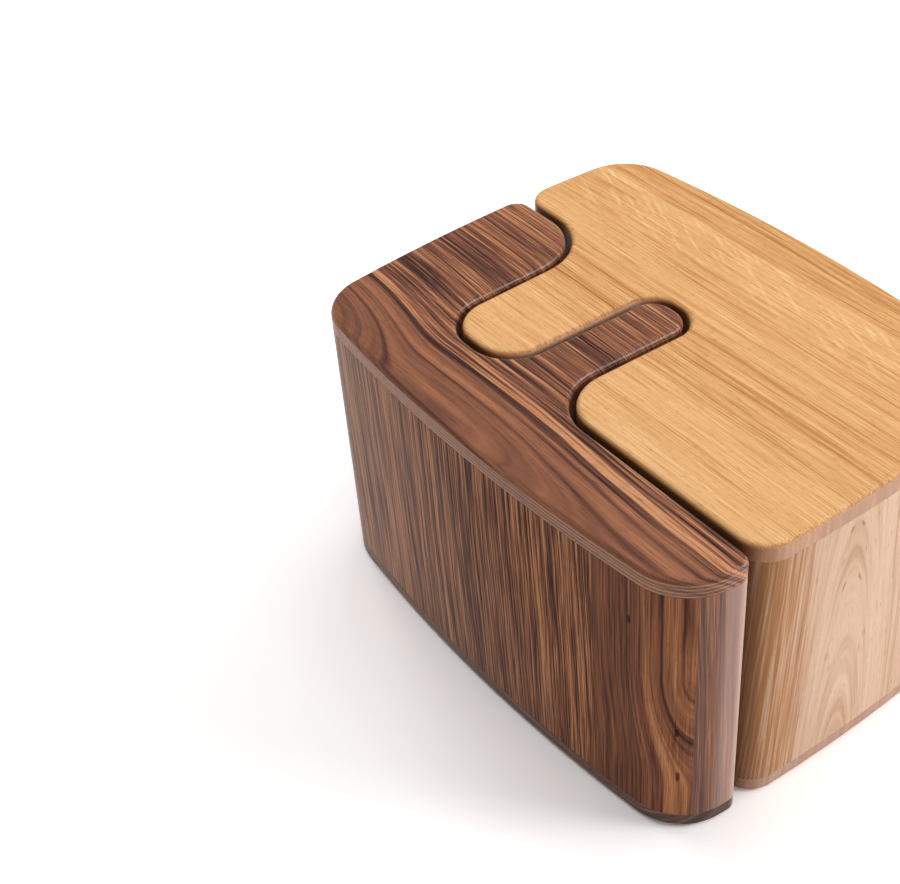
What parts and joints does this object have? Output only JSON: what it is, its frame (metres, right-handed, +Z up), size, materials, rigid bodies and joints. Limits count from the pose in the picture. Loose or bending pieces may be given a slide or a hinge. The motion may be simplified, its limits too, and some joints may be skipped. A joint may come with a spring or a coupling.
{
  "type": "interlocking low table",
  "caption": "Low table in two hollow wooden halves, walnut and oak, whose rounded fingers and tongue interlock and slide apart sideways.",
  "frame": {"origin": "on the floor plane under the glides, at the middle of the closed table's outline", "axes": "+Z up; +X along the fingers, from the walnut half towards the oak half; +Y along the long straight joint, from the end with the walnut nose towards the end with the walnut back finger"},
  "size_m": [0.48, 0.6, 0.343],
  "materials": {
    "walnut": "satin",
    "oak": "satin",
    "plywood": "matte",
    "steel": "satin",
    "glide_plastic": "matte"
  },
  "bodies": {
    "oak_half": {"oak_top_board": "oak", "oak_base_board": "oak", "oak_top_former": "plywood", "oak_base_former": "plywood", "oak_top_screws": "steel", "oak_base_screws": "steel", "oak_glides": "glide_plastic", "oak_glide_nails": "steel", "oak_outer_panel": "oak", "oak_back_right_corner": "oak", "oak_back_panel": "oak", "oak_back_joint_corner": "oak", "oak_back_joint_panel": "oak", "oak_back_cove": "oak", "oak_tongue_far_panel": "oak", "oak_tongue_end": "oak", "oak_tongue_near_panel": "oak", "oak_recess_end": "oak", "oak_recess_near_panel": "oak", "oak_joint_corner": "oak", "oak_joint_panel": "oak", "oak_front_joint_corner": "oak", "oak_front_panel": "oak", "oak_front_right_corner": "oak"},
    "walnut_half": {"walnut_top_board": "walnut", "walnut_base_board": "walnut", "walnut_top_former": "plywood", "walnut_base_former": "plywood", "walnut_top_screws": "steel", "walnut_base_screws": "steel", "walnut_glides": "glide_plastic", "walnut_glide_nails": "steel", "walnut_outer_panel": "walnut", "walnut_nose": "walnut", "walnut_joint_panel": "walnut", "walnut_inner_cove": "walnut", "walnut_finger_near_panel": "walnut", "walnut_finger_tip": "walnut", "walnut_finger_far_panel": "walnut", "walnut_slot_end": "walnut", "walnut_slot_far_panel": "walnut", "walnut_back_finger_round": "walnut", "walnut_back_finger_end": "walnut", "walnut_back_finger_corner": "walnut", "walnut_back_panel": "walnut", "walnut_back_corner": "walnut"}
  },
  "joints": [
    {"name": "halves_slide", "type": "slide", "parent": "oak_half", "child": "walnut_half", "axis": [-0.9992, 0.041, 0], "range_m": [0, 0.26]}
  ]
}
